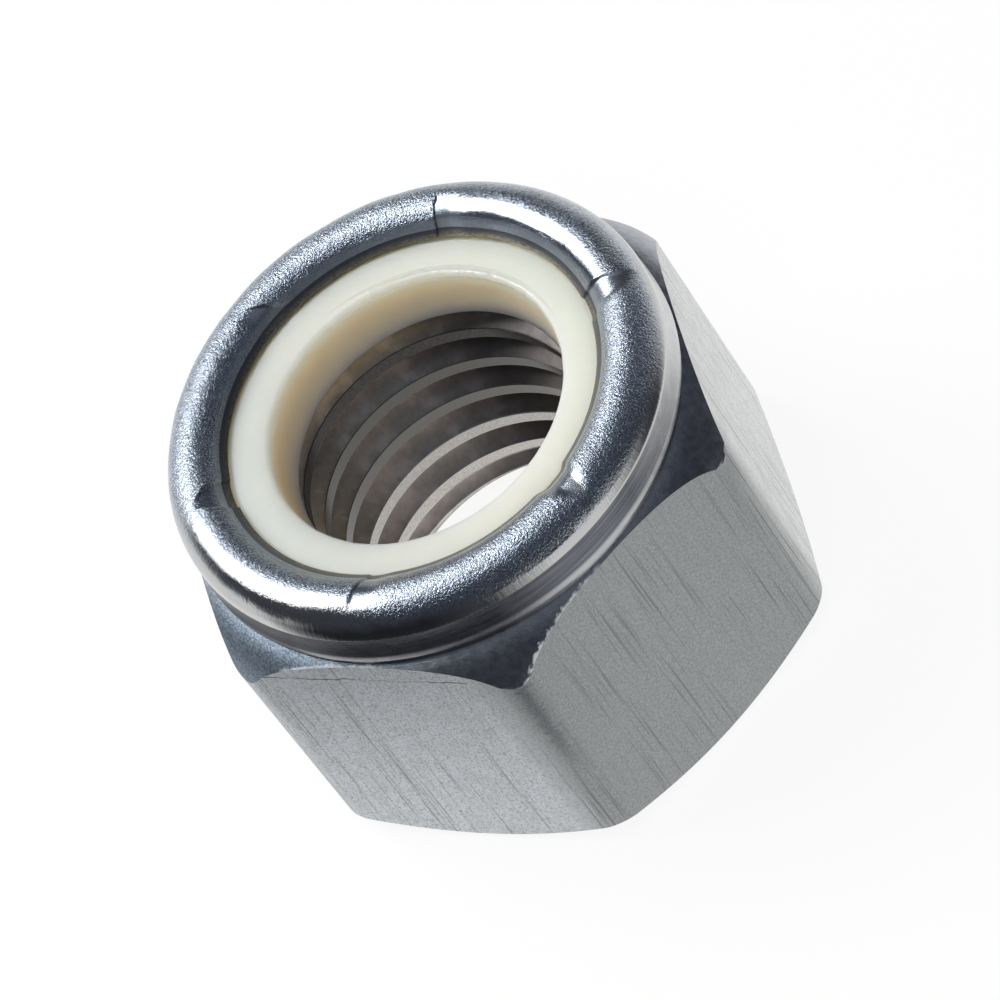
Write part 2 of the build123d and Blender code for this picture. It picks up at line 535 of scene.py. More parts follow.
# real pits are about 0.03 mm wide and drawing lines 0.02: both are drawn coarser, or they wouldn't show
flatsLook = dict(
    darkGrey="#909393",
    paleGrey="#afb2b2",
    # the next two are painted light, for the two sides that catch the most light
    paintedLightSide="#eff1ef",
    brightSide="#e9edf2",
    cloud="#9a9c9d",
    fleck="#6f7377",
    line="#717578",
    scratch="#4f5154",
    cornerDark="#6b6e74",
    pitSize=1 / 8.5,
    fleckSize=(1 / 9, 1 / 7),
    cloudSize=1.111,
    lineSize=(1 / 9, 7.14),     # across and along the bar
    lineGroupSize=(1.818, 16.7),
    cornerDarkSize=(0.8333, 1 / 7),
    scratchHeight=14.15,
    scratchWidth=0.06,
    pitDepth=0.035,
    lineDepth=0.004,
    scratchDepth=0.02,
)


def drawnFlats():
    # cold-drawn stainless bar, left as drawn: matt pale grey with a peppered skin, groups of faint lines
    # along the bar, one long scratch, dark strokes down the corners on one side, and painted light that makes
    # two sides lighter
    material, add, shader, at = newMaterial("drawnStainlessFlats", Metallic=1.0)
    pitScale = perMm(flatsLook["pitSize"])
    pepper = add("TexNoise", {"Scale": pitScale, "Detail": 3, "Roughness": 0.7}, {0: at.mm})
    cloudScale = perMm(flatsLook["cloudSize"])
    clouds = add("TexNoise", {"Scale": cloudScale, "Detail": 4, "Roughness": 0.6}, {0: at.mm})
    alongBar = add("Mapping", {"Scale": perMm(*flatsLook["lineSize"])}, {0: at.mm})
    lines = add("TexNoise", {"Scale": 1, "Detail": 2, "Roughness": 0.5}, {0: alongBar})
    inGroups = add("Mapping", {"Scale": perMm(*flatsLook["lineGroupSize"])}, {0: at.mm})
    groups = add("TexNoise", {"Scale": 1, "Detail": 1}, {0: inGroups})
    groupMask = add("MapRange", {1: 0.44, 2: 0.58, 3: 0.12, 4: 0.75}, {0: groups})
    lineMask = add("MapRange", {1: 0.55, 2: 0.68}, {0: lines})
    lineShare = add("Math", {"operation": "MULTIPLY"}, {0: lineMask, 1: groupMask})
    # the long scratch lies a little under the chamfer of one flat, and wanders
    wander = add("Math", {"operation": "MULTIPLY_ADD", 1: 0.5, 2: -flatsLook["scratchHeight"]}, {0: clouds})
    offScratch = add("Math", {"operation": "ADD"}, {0: at.height, 1: wander})
    scratchGap = add("Math", {"operation": "ABSOLUTE"}, {0: offScratch})
    width = flatsLook["scratchWidth"]
    scratchLine = add("MapRange", {1: 0.25 * width, 2: 0.75 * width, 3: 1, 4: 0}, {0: scratchGap})
    scratchEnds = facing(add, at, 207, 0.910, 0.925)
    broken = add("MapRange", {1: 0.40, 2: 0.46, 3: 0.35}, {0: groups})
    scratchPart = add("Math", {"operation": "MULTIPLY"}, {0: scratchLine, 1: scratchEnds})
    scratch = add("Math", {"operation": "MULTIPLY"}, {0: scratchPart, 1: broken})
    # dark strokes round the corners, strongest on one side, fading towards the bearing face
    fromCorner = add("Math", {"operation": "PINGPONG", 1: pi / 6}, {0: at.turn})
    strokeScale = add("Mapping", {"Scale": perMm(*flatsLook["cornerDarkSize"])}, {0: at.mm})
    strokes = add("TexNoise", {"Scale": 1, "Detail": 3, "Roughness": 0.7}, {0: strokeScale})
    ragged = add("Math", {"operation": "MULTIPLY_ADD", 1: 0.09, 2: -0.045}, {0: strokes})
    cornerEdge = add("Math", {"operation": "ADD"}, {0: fromCorner, 1: ragged})
    corner = add("MapRange", {1: radians(0.5), 2: radians(1.6), 3: 1, 4: 0}, {0: cornerEdge})
    upper = add("MapRange", {1: 6, 2: 9, 3: 0, 4: 0.6}, {0: at.height})
    frontCorner = facing(add, at, 240, 0.90, 0.95, away=0.15)
    cornerDark = add("Math", {"operation": "MULTIPLY"}, {0: corner, 1: upper})
    strokeMarks = add("Math", {"operation": "MULTIPLY"}, {0: cornerDark, 1: frontCorner})
    # greys, from the skin up to the strokes
    skin = add("MapRange", {1: 0.36, 2: 0.64}, {0: pepper})
    grey = add("Mix", {"data_type": "RGBA", 6: flatsLook["darkGrey"], 7: flatsLook["paleGrey"]}, {0: skin})
    # painted light: one side much lighter, another a little lighter and more flecked
    paintedLightShare = facing(add, at, 338, 0.76, 0.88)
    bright = facing(add, at, 205, 0.83, 0.90)
    brightPart = add("Math", {"operation": "MULTIPLY", 1: 0.62}, {0: bright})
    clouded = add("MapRange", {1: 0.42, 2: 0.70, 4: 0.2}, {0: clouds})
    fleckScale = add("Mapping", {"Scale": perMm(*flatsLook["fleckSize"])}, {0: at.mm})
    flecks = add("TexNoise", {"Scale": 1, "Detail": 4, "Roughness": 0.75}, {0: fleckScale})
    fleckMask = add("MapRange", {1: 0.48, 2: 0.70}, {0: flecks})
    fleckPart = add("MapRange", {3: 0.45, 4: 0.85}, {0: bright})
    flecked = add("Math", {"operation": "MULTIPLY"}, {0: fleckMask, 1: fleckPart})
    colour = coats(add, grey, (flatsLook["paintedLightSide"], paintedLightShare), (flatsLook["brightSide"], brightPart),
                   (flatsLook["cloud"], clouded), (flatsLook["fleck"], flecked),
                   (flatsLook["line"], lineShare), (flatsLook["scratch"], scratch),
                   (flatsLook["cornerDark"], strokeMarks))
    rough = add("MapRange", {1: 0.3, 2: 0.7, 3: 0.38, 4: 0.52}, {0: pepper})
    pits = add("Bump", {"Distance": flatsLook["pitDepth"] * mm}, {"Height": pepper})
    drawn = add("Bump", {"Distance": -flatsLook["lineDepth"] * mm}, {"Height": lineShare, "Normal": pits})
    cut = add("Bump", {"Distance": -flatsLook["scratchDepth"] * mm}, {"Height": scratch, "Normal": drawn})
    connect(shader, {"Base Color": colour, "Roughness": rough, "Normal": cut})
    return material


# real tool rings are about 0.05 mm apart and are drawn coarser, to show
chamferLook = dict(
    darkGrey="#9c9fa7",
    paleGrey="#bcbfc7",
    # painted reflection on one side, dark and pale
    reflectionTones=("#6c7986", "#8e9aa6"),
    burrHighlight="#f4f6f8",
    ringSize=(2.5, 1 / 8),      # round the nut and from ring to ring
    mottleSize=0.4,
    grainSize=1 / 9,
    burrWidth=0.32,             # from the flat inwards
    grainDepth=0.012,
    ringDepth=0.004,
)


def turnedChamfer():
    # stainless turned with a broad tool and left bright: faint rings, a slight mottle like breath on a mirror
    material, add, shader, at = newMaterial("turnedStainlessChamfer", Metallic=1.0)
    lift = add("CombineXYZ", None, {2: at.radius})
    point = add("VectorMath", {"operation": "ADD"}, {0: at.around, 1: lift})
    ringScale = add("Mapping", {"Scale": perMm(*chamferLook["ringSize"])}, {0: point})
    rings = add("TexNoise", {"Scale": 1, "Detail": 2}, {0: ringScale})
    mottleScale = perMm(chamferLook["mottleSize"])
    mottle = add("TexNoise", {"Scale": mottleScale, "Detail": 4, "Roughness": 0.6}, {0: at.mm})
    grain = add("TexNoise", {"Scale": perMm(chamferLook["grainSize"]), "Detail": 2}, {0: at.mm})
    tone = add("MapRange", {1: 0.35, 2: 0.7}, {0: mottle})
    base = add("Mix", {"data_type": "RGBA", 6: chamferLook["darkGrey"], 7: chamferLook["paleGrey"]},
               {0: tone})
    # painted reflection: a speckled dark blue-grey on one side
    reflectionSide = facing(add, at, 190, 0.80, 0.92)
    speckle = add("MapRange", {1: 0.40, 2: 0.60}, {0: grain})
    darkReflectionTone, paleReflectionTone = chamferLook["reflectionTones"]
    blue = add("Mix", {"data_type": "RGBA", 6: darkReflectionTone, 7: paleReflectionTone}, {0: speckle})
    reflectedBase = add("Mix", {"data_type": "RGBA"}, {0: reflectionSide, 6: base, 7: blue})
    # a ragged burr where the chamfer runs out at the flats, thrown up on one of them, with a painted
    # highlight along it
    fromCorner = add("Math", {"operation": "PINGPONG", 1: pi / 6}, {0: at.turn})
    fromMiddle = add("Math", {"operation": "SUBTRACT", 0: pi / 6}, {1: fromCorner})
    share = add("Math", {"operation": "COSINE"}, {0: fromMiddle})
    reach = add("Math", {"operation": "MULTIPLY"}, {0: at.radius, 1: share})
    inward = add("Math", {"operation": "SUBTRACT", 0: flatRadius}, {1: reach})
    ragged = add("Math", {"operation": "MULTIPLY_ADD", 1: 0.6}, {0: mottle, 2: inward})
    burrWidth = chamferLook["burrWidth"]
    atEdge = add("MapRange", {1: burrWidth, 2: burrWidth + 0.1, 3: 0.85, 4: 0}, {0: ragged})
    burrPart = facing(add, at, 253, 0.970, 0.980)
    chipPart = facing(add, at, 202, 0.975, 0.985, towards=0.8)
    broken = add("Math", {"operation": "MAXIMUM"}, {0: burrPart, 1: chipPart})
    burrHighlight = add("Math", {"operation": "MULTIPLY"}, {0: atEdge, 1: broken})
    edged = coats(add, reflectedBase, (chamferLook["burrHighlight"], burrHighlight))
    shine = add("MapRange", {1: 0.3, 2: 0.7, 3: 0.28, 4: 0.38}, {0: mottle})
    matt = add("Math", {"operation": "MULTIPLY_ADD", 1: 0.14}, {0: reflectionSide, 2: shine})
    rough = add("Math", {"operation": "MULTIPLY_ADD", 1: 0.6}, {0: burrHighlight, 2: matt})
    # torn metal scatters light like something pale and matt; the burr's white is partly painted highlight
    sheen = add("Math", {"operation": "MULTIPLY_ADD", 1: -0.8, 2: 1}, {0: burrHighlight})
    grained = add("Bump", {"Distance": chamferLook["grainDepth"] * mm}, {"Height": grain})
    ringed = add("Bump", {"Distance": chamferLook["ringDepth"] * mm}, {"Height": rings, "Normal": grained})
    connect(shader, {"Base Color": edged, "Metallic": sheen, "Roughness": rough, "Normal": ringed})
    return material


# the streaks are drawn coarser than the tool's real lines, which are about 0.05 mm apart, to show
collarLook = dict(
    darkGrey="#5a5d64",
    paleGrey="#777a80",
    # the next two are painted shade and painted light
    bluishTone="#2b2d32",
    paintedSheen="#cccdce",
    streakSize=(2.857, 1 / 9),  # round the nut and from streak to streak
    mottleSize=0.625,
    mottleDepth=0.012,
    streakDepth=0.0035,
)


def turnedCollar():
    # the collar's wall and bead, turned stainless: bright, with faint streaks that run round the nut
    material, add, shader, at = newMaterial("turnedStainlessCollar", Metallic=1.0)
    lift = add("CombineXYZ", None, {2: at.height})
    point = add("VectorMath", {"operation": "ADD"}, {0: at.around, 1: lift})
    streakScale = add("Mapping", {"Scale": perMm(*collarLook["streakSize"])}, {0: point})
    streaks = add("TexNoise", {"Scale": 1, "Detail": 3}, {0: streakScale})
    mottle = add("TexNoise", {"Scale": perMm(collarLook["mottleSize"]), "Detail": 3}, {0: at.mm})
    tone = add("MapRange", {1: 0.35, 2: 0.65}, {0: streaks})
    dark = add("Mix", {"data_type": "RGBA", 6: collarLook["darkGrey"], 7: collarLook["paleGrey"]}, {0: tone})
    # painted shade darkens one side, and painted light lightens the other side and the bead
    bright = facing(add, at, 345, 0.45, 0.90)
    onBead = add("MapRange", {1: beadTop - 0.3, 2: beadTop - 0.5, 4: 0.7}, {0: at.height})
    paintedSheen = add("Math", {"operation": "ADD", "use_clamp": True}, {0: bright, 1: onBead})
    left = facing(add, at, 193, 0.80, 0.95, towards=0.75)
    base = coats(add, dark, (collarLook["bluishTone"], left), (collarLook["paintedSheen"], paintedSheen))
    rough = add("MapRange", {1: 0.3, 2: 0.7, 3: 0.26, 4: 0.34}, {0: mottle})
    wavy = add("Bump", {"Distance": collarLook["mottleDepth"] * mm}, {"Height": mottle})
    streaked = add("Bump", {"Distance": collarLook["streakDepth"] * mm}, {"Height": streaks, "Normal": wavy})
    connect(shader, {"Base Color": base, "Roughness": rough, "Normal": streaked})
    return material


# the real grain goes down to about 0.03 mm and is drawn coarser, to show
rollLook = dict(
    plain="#bfbfbd",
    bluishTone="#b0b8c2",
    flakes=("#8f99a6", "#c6d0dc"),
    crumpled="#565f6b",
    # painted dark reflection, low on one side
    footReflection="#3c4047",
    # painted shade in the creases
    creaseShade="#24272c",
    wrinkleSize=(1 / 9, 1 / 6), # round the nut and over the roll
    grainSize=1 / 15,
    broadSize=0.625,            # how far the bands' edges wander at a time
    dragSize=(1 / 7, 1.429),    # across and down the drag lines
    wrinkleDepth=0.052,
    grainDepth=0.026,
    dragDepth=0.010,
)


def crimpedRoll():
    # stainless rolled over by a crimping die: bright, wrinkled into a fine grain, but smooth inside the
    # crimp dishes, down the inner slope and near the foot, and smoothest on the side that was rolled first
    material, add, shader, at = newMaterial("crimpedStainlessRoll", Metallic=1.0)
    out = add("Math", {"operation": "SUBTRACT", 1: crestRadius}, {0: at.radius})
    up = add("Math", {"operation": "SUBTRACT", 1: rollFoot}, {0: at.height})
    section = add("Math", {"operation": "ARCTAN2"}, {0: up, 1: out})
    arc = add("Math", {"operation": "MULTIPLY", 1: body["rollRadius"]}, {0: section})
    lift = add("CombineXYZ", None, {2: arc})
    point = add("VectorMath", {"operation": "ADD"}, {0: at.around, 1: lift})
    wrinkleScale = add("Mapping", {"Scale": perMm(*rollLook["wrinkleSize"])}, {0: point})
    wrinkles = add("TexNoise", {"Scale": 1, "Detail": 3, "Roughness": 0.6}, {0: wrinkleScale})
    grainScale = perMm(rollLook["grainSize"])
    grain = add("TexNoise", {"Scale": grainScale, "Detail": 2, "Roughness": 0.6}, {0: point})
    broad = add("TexNoise", {"Scale": perMm(rollLook["broadSize"]), "Detail": 3}, {0: point})
    ragged = add("Math", {"operation": "MULTIPLY_ADD", 1: 0.4, 2: -0.2}, {0: broad})
    edge = add("Math", {"operation": "ADD"}, {0: section, 1: ragged})
    # the grain's band, over the section and round the nut
    further = facing(add, at, 148, 0.35, 0.65, towards=radians(-26))
    innerEdge = add("Math", {"operation": "ADD"}, {0: edge, 1: further})
    inside = add("MapRange", {1: radians(126), 2: radians(132), 3: 1, 4: 0.45}, {0: innerEdge})
    outside = add("MapRange", {1: radians(8), 2: radians(45)}, {0: edge})
    smoothTurn = facing(add, at, 5, 0.84, 0.88, away=1, towards=0.1)
    downInside = add("MapRange", {1: radians(124), 2: radians(134)}, {0: edge})
    smoothCrest = add("Math", {"operation": "MAXIMUM"}, {0: smoothTurn, 1: downInside})
    belowCrest = add("MapRange", {1: radians(101), 2: radians(88), 4: 0.8}, {0: edge})
    rolledSide = add("Math", {"operation": "MAXIMUM"}, {0: smoothCrest, 1: belowCrest})
    pressed = add("Attribute", {"attribute_name": "pressed"}).outputs["Fac"]
    outOfDish = add("MapRange", {1: 0.2, 2: 0.8, 3: 1, 4: 0.15}, {0: pressed})
    band = add("Math", {"operation": "MULTIPLY"}, {0: inside, 1: outside})
    sideBand = add("Math", {"operation": "MULTIPLY"}, {0: band, 1: rolledSide})
    # one stretch is rolled quite smooth below its crest
    smoothSide = facing(add, at, 187, 0.80, 0.94, towards=0.78)
    underCrest = add("MapRange", {1: radians(100), 2: radians(80)}, {0: edge})
    smoothPart = add("Math", {"operation": "MULTIPLY"}, {0: smoothSide, 1: underCrest})
    roughPart = add("Math", {"operation": "SUBTRACT", 0: 1}, {1: smoothPart})
    keptBand = add("Math", {"operation": "MULTIPLY"}, {0: sideBand, 1: roughPart})
    grained = add("Math", {"operation": "MULTIPLY"}, {0: keptBand, 1: outOfDish})
    # the grain's flakes lie at many angles, so some are much darker than others
    tone = add("MapRange", {1: 0.38, 2: 0.62}, {0: grain})
    darkFlake, paleFlake = rollLook["flakes"]
    flakes = add("Mix", {"data_type": "RGBA", 6: darkFlake, 7: paleFlake}, {0: tone})
    bluishTone = add("MapRange", {1: radians(60), 2: radians(85)}, {0: edge})
    plain = add("Mix", {"data_type": "RGBA", 6: rollLook["plain"], 7: rollLook["bluishTone"]}, {0: bluishTone})
    grainy = add("Mix", {"data_type": "RGBA"}, {0: grained, 6: plain, 7: flakes})
    above = add("MapRange", {1: radians(96), 2: radians(114), 4: 0.12}, {0: edge})
    crumpled = facing(add, at, 148, 0.35, 0.65)
    crumple = add("Math", {"operation": "MULTIPLY"}, {0: above, 1: crumpled})
    # painted dark reflection: a dark patch low on one side
    darkTurn = facing(add, at, 216, 0.91, 0.97, towards=0.7)
    atFoot = add("MapRange", {1: radians(38), 2: radians(18)}, {0: edge})
    darkPart = add("Math", {"operation": "MULTIPLY"}, {0: darkTurn, 1: atFoot})
    # painted shade darkening the creases
    creased = add("Attribute", {"attribute_name": "creased"}).outputs["Fac"]
    creaseShade = add("Math", {"operation": "MULTIPLY", 1: 0.85}, {0: creased})
    base = coats(add, grainy, (rollLook["crumpled"], crumple), (rollLook["footReflection"], darkPart),
                 (rollLook["creaseShade"], creaseShade))
    # duller at the lip, in the dishes, and down the inner slope on the far side
    atLip = add("MapRange", {1: radians(126), 2: radians(140), 3: 0.15, 4: 0.27}, {0: section})
    rough = add("Math", {"operation": "MULTIPLY_ADD", 1: 0.02}, {0: grained, 2: atLip})
    dished = add("Math", {"operation": "MULTIPLY_ADD", 1: 0.12}, {0: pressed, 2: rough})
    far = facing(add, at, 50, 0.3, 0.8)
    onLip = add("MapRange", {1: radians(124), 2: radians(134), 4: 0.22}, {0: section})
    farLip = add("Math", {"operation": "MULTIPLY_ADD"}, {0: far, 1: onLip, 2: dished})
    coarse = add("Math", {"operation": "SUBTRACT", 1: 0.5}, {0: wrinkles})
    coarseHeight = add("Math", {"operation": "MULTIPLY"}, {0: coarse, 1: grained})
    fine = add("Math", {"operation": "SUBTRACT", 1: 0.5}, {0: grain})
    fineHeight = add("Math", {"operation": "MULTIPLY"}, {0: fine, 1: grained})
    wrinkled = add("Bump", {"Distance": rollLook["wrinkleDepth"] * mm}, {"Height": coarseHeight})
    bumped = add("Bump", {"Distance": rollLook["grainDepth"] * mm},
                 {"Height": fineHeight, "Normal": wrinkled})
    # drag lines of the crimping die down the outer side
    dragScale = add("Mapping", {"Scale": perMm(*rollLook["dragSize"])}, {0: point})
    drag = add("TexNoise", {"Scale": 1, "Detail": 2}, {0: dragScale})
    lowSide = add("MapRange", {1: radians(75), 2: radians(55)}, {0: edge})
    dragHeight = add("Math", {"operation": "MULTIPLY"}, {0: drag, 1: lowSide})
    strokeMarks = add("Bump", {"Distance": rollLook["dragDepth"] * mm}, {"Height": dragHeight, "Normal": bumped})
    connect(shader, {"Base Color": base, "Roughness": farLip, "Normal": strokeMarks})
    return material


lipLook = dict(
    olive=("#77736a", "#979285"),
    grey="#6f7378",
    mottleSize=1 / 9,           # coarser than the tool marks of 0.03 that it stands for
    mottleDepth=0.012,
)


def facedLip():
    # the lip's cut end, faced stainless: matt grey, olive beside the ring, and painted shade as a greyer band
    # along its top
    material, add, shader, at = newMaterial("facedStainlessLip", Metallic=1.0, Roughness=0.40)
    mottle = add("TexNoise", {"Scale": perMm(lipLook["mottleSize"]), "Detail": 3}, {0: at.mm})
    tone = add("MapRange", {1: 0.35, 2: 0.65}, {0: mottle})
    darkOlive, paleOlive = lipLook["olive"]
    olive = add("Mix", {"data_type": "RGBA", 6: darkOlive, 7: paleOlive}, {0: tone})
    # painted shade: a greyer band along the top of the face
    above = add("MapRange", {1: lipTip[1] + 0.07, 2: lipTip[1] + 0.13}, {0: at.height})
    base = coats(add, olive, (lipLook["grey"], above))
    bump = add("Bump", {"Distance": lipLook["mottleDepth"] * mm}, {"Height": mottle})
    connect(shader, {"Base Color": base, "Normal": bump})
    return material


threadLook = dict(
    # crest tones from the bearing face up, one for each turn: painted light, pale low down and dark higher up
    crests=("#b0aeaa", "#c4c0ba", "#b8b5b1", "#6c6a67", "#5f5d5a", "#3c3a39", "#3c3a39", "#3c3a39"),
    crestSpot="#6b6864",
    # the flanks' paler root is painted light
    flanks=("#aaa5a1", "#ebe7e4"),  # at the crest and at the root
    oil="#787370",
    # the next two are a painted reflection and painted shade
    reflectionStreaks="#fff4f2",
    shaded="#4a4546",
    oilSize=1 / 3.5,
    spotSize=1 / 9,
    streakSize=(1.111, 14.29),  # round the bore and up it
    oilDepth=0.006,
    crestWidth=0.16,            # half the mean crest's width, as a share of the pitch
)


def tappedThread():
    # tapped stainless: flanks brown-grey with cutting oil and painted light and shade, crests left by the
    # drill, painted paler low down and darker up the bore
    material, add, shader, at = newMaterial("tappedStainlessThread", Metallic=1.0)
    pitch = thread["pitch"]
    across = add("Math", {"operation": "MULTIPLY", 1: -1}, {0: at.x})
    quarterOn = add("Math", {"operation": "ARCTAN2"}, {0: across, 1: at.y})
    middle = -pitch / 4 - thread["startHeight"]
    climb = add("Math", {"operation": "MULTIPLY_ADD", 1: -pitch / (2 * pi), 2: middle}, {0: quarterOn})
    unwound = add("Math", {"operation": "ADD"}, {0: climb, 1: at.height})
    turnCount = add("Math", {"operation": "DIVIDE", 1: pitch}, {0: unwound})
    phase = add("Math", {"operation": "FRACT"}, {0: turnCount})
    oilScale = perMm(threadLook["oilSize"])
    mottle = add("TexNoise", {"Scale": oilScale, "Detail": 4, "Roughness": 0.6}, {0: at.mm})
    specks = add("TexNoise", {"Scale": perMm(threadLook["spotSize"]), "Detail": 3}, {0: at.mm})
    # each turn's crest tone, painted light
    crestCount = len(threadLook["crests"])
    whichTurn = add("MapRange", {1: -1, 2: crestCount - 1}, {0: turnCount})
    paintedCrestLight = add("ValToRGB", None, {0: whichTurn})
    ramp = paintedCrestLight.color_ramp
    ramp.interpolation = "CONSTANT"
    for index, tone in enumerate(threadLook["crests"]):
        stop = ramp.elements[index] if index < 2 else ramp.elements.new(1)
        stop.position = index / crestCount
        stop.color = hexColour(tone)
    spotted = add("MapRange", {1: 0.35, 2: 0.70, 4: 0.35}, {0: specks})
    crestTone = coats(add, paintedCrestLight, (threadLook["crestSpot"], spotted))
    # the flanks: painted light paler towards the root, oily in clouds, painted reflection in pale streaks
    # down the bore, and painted shade on one side
    toRoot = add("MapRange", {1: body["boreRadius"] + 0.1, 2: thread["majorRadius"]}, {0: at.radius})
    crestEnd, rootEnd = threadLook["flanks"]
    flank = add("Mix", {"data_type": "RGBA", 6: crestEnd, 7: rootEnd}, {0: toRoot})
    oily = add("MapRange", {1: 0.40, 2: 0.75, 4: 0.3}, {0: mottle})
    reflectionStreaks = add("Mapping", {"Scale": perMm(*threadLook["streakSize"])}, {0: at.mm})
    streaks = add("TexNoise", {"Scale": 1, "Detail": 3}, {0: reflectionStreaks})
    streak = add("MapRange", {1: 0.50, 2: 0.66, 4: 0.40}, {0: streaks})
    shade = facing(add, at, 15, 0.55, 0.92, towards=0.8)
    oiled = coats(add, flank, (threadLook["oil"], oily), (threadLook["reflectionStreaks"], streak),
                  (threadLook["shaded"], shade))
    # which is crest and which is flank, by radius, and by the turn's own height where the bore widens
    onFlank = add("MapRange", {1: body["boreRadius"] + 0.02, 2: body["boreRadius"] + 0.06}, {0: at.radius})
    offMiddle = add("Math", {"operation": "SUBTRACT", 1: 0.5}, {0: phase})
    fromMiddle = add("Math", {"operation": "ABSOLUTE"}, {0: offMiddle})
    crestWidth = threadLook["crestWidth"]
    lowTurns = add("MapRange", {1: crestWidth, 2: crestWidth - 0.015, 3: 1, 4: 0}, {0: fromMiddle})
    flankShare = add("Math", {"operation": "MINIMUM"}, {0: onFlank, 1: lowTurns})
    base = add("Mix", {"data_type": "RGBA"}, {0: flankShare, 6: crestTone, 7: oiled})
    rough = add("MapRange", {3: 0.24, 4: 0.38}, {0: flankShare})
    bump = add("Bump", {"Distance": threadLook["oilDepth"] * mm}, {"Height": mottle})
    connect(shader, {"Base Color": base, "Roughness": rough, "Normal": bump})
    return material


ringLook = dict(
    # the top's two tones are painted light, one side lit more than the other
    coolSide="#dbdbcb",
    warmSide="#fff2d6",
    wall="#ffdcbd",             # where the light soaks through the hole's wall
    cloudSize=2.5,
    waveSize=1 / 1.5,
    fineSize=1 / 3,
    waveDepth=0.16,
    fineDepth=0.008,
    soak=5,                     # how far light goes in, in mm
)


def mouldedNylon():
    # natural nylon 66, moulded and crimped: milky cream, warmer where the light soaks through the hole's
    # wall, and glossy round the hole's far edge
    material, add, shader, at = newMaterial("mouldedNylon", IOR=1.53, Subsurface_Weight=1.0,
                                            Subsurface_Radius=(1.0, 0.85, 0.65),
                                            Subsurface_Scale=ringLook["soak"] * mm)
    clouds = add("TexNoise", {"Scale": perMm(ringLook["cloudSize"]), "Detail": 2}, {0: at.mm})
    fine = add("TexNoise", {"Scale": perMm(ringLook["fineSize"]), "Detail": 3}, {0: at.mm})
    waves = add("TexNoise", {"Scale": perMm(ringLook["waveSize"]), "Detail": 3}, {0: at.mm})
    # painted light: the top turns paler and creamier towards one side, through random clouds
    along = add("VectorMath", {"operation": "DOT_PRODUCT", 1: direction(335)}, {0: at.mm})
    cloudy = add("Math", {"operation": "MULTIPLY_ADD", 1: 5}, {0: clouds, 2: along.outputs["Value"]})
    warm = add("MapRange", {1: -5, 2: 10}, {0: cloudy})
    top = add("Mix", {"data_type": "RGBA", 6: ringLook["coolSide"], 7: ringLook["warmSide"]}, {0: warm})
    deep = add("MapRange", {1: ringTop - 0.10, 2: ringTop - 0.9}, {0: at.height})
    base = coats(add, top, (ringLook["wall"], deep))
    # all of it is dull but the hole's far edge, which is glossy and a little wavy
    offRim = add("MapRange", {1: ring["holeRadius"] + 0.12, 2: ring["holeRadius"] + 0.40}, {0: at.radius})
    near = facing(add, at, 30, 0.95, 0.60)
    below = add("MapRange", {1: ringTop - 0.25, 2: ringTop - 0.45}, {0: at.height})
    offEdge = add("Math", {"operation": "MAXIMUM"}, {0: offRim, 1: below})
    dull = add("Math", {"operation": "MAXIMUM"}, {0: offEdge, 1: near})
    rough = add("MapRange", {3: 0.12, 4: 0.58}, {0: dull})
    farEdge = add("MapRange", {3: 1, 4: 0}, {0: dull})
    nearTop = add("MapRange", {1: ringTop - 0.6, 2: ringTop - 0.35}, {0: at.height})
    onRim = add("Math", {"operation": "MULTIPLY"}, {0: farEdge, 1: nearTop})
    rimWaves = add("Math", {"operation": "MULTIPLY"}, {0: waves, 1: onRim})
    fineBump = add("Bump", {"Distance": ringLook["fineDepth"] * mm}, {"Height": fine})
    waveBump = add("Bump", {"Distance": ringLook["waveDepth"] * mm}, {"Height": rimWaves, "Normal": fineBump})
    connect(shader, {"Base Color": base, "Roughness": rough, "Normal": waveBump})
    return material


steelFinishes = dict(
    flats=drawnFlats(),
    chamfer=turnedChamfer(),
    collar=turnedCollar(),
    roll=crimpedRoll(),
    lip=facedLip(),
    thread=tappedThread(),
)


def finishOf(face):
    # which steel finish a face has, from where it lies
    radius = Vector((face.center.x, face.center.y)).length / mm
    height = face.center.z / mm
    if radius < body["mouthRadius"] and hair < height < ringFloor + hair:
        return "thread"
    if height > rollFoot and radius > lipEdge[0] - hair / 2:
        return "roll"
    if height > lipTip[1] - 2 * hair and radius < lipEdge[0]:
        return "lip"
    inPocket = radius < pocketRadius and height > ringFloor - hair
    if height > collarFoot + hair or inPocket:
        return "collar"
    if abs(face.normal.z) < 0.1:
        return "flats"
    return "chamfer"


steelBody.data.materials.clear()
for finish in steelFinishes.values():
    steelBody.data.materials.append(finish)
for face in steelBody.data.polygons:
    face.material_index = list(steelFinishes).index(finishOf(face))
nylon.data.materials.clear()
nylon.data.materials.append(mouldedNylon())
print("materials made")

for piece, node, slotName in ((steelBody, "hex_body", "steel"), (nylon, "nylon_insert", "nylon")):
    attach(piece, "root")
    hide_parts(node)


studio = dict(
    floorSize=3.0,
    floorColour="#f6f6f4",
    cameraWhite=0.9,            # how much of the floor is plain white to the eye, the rest takes shadow
    glossyWhite=0.90,           # and how much of it is white in the steel's reflections
    cardColour="#46484f",
    roomColour="#474a52",
    zenithColour="#858b93",
    backdropColour="#fbfbf8",
    backdropAzimuth=60,
)

# distances and sizes in metres
lamps = (
    dict(name="keyLight", azimuth=115, elevation=52, distance=0.35, size=0.24, power=0.95, inGloss=True),
    dict(name="fillLight", azimuth=250, elevation=65, distance=0.4, size=0.3, power=0.78, inGloss=False),
)

# curved cards round the nut, their sizes in mm; each fades out over its last soft degrees
cards = (
    dict(name="frontCardLeft", fromTurn=164, toTurn=262, radius=25, height=40, soft=22),
    dict(name="frontCardRight", fromTurn=285, toTurn=352, radius=30, height=32, soft=25),
)


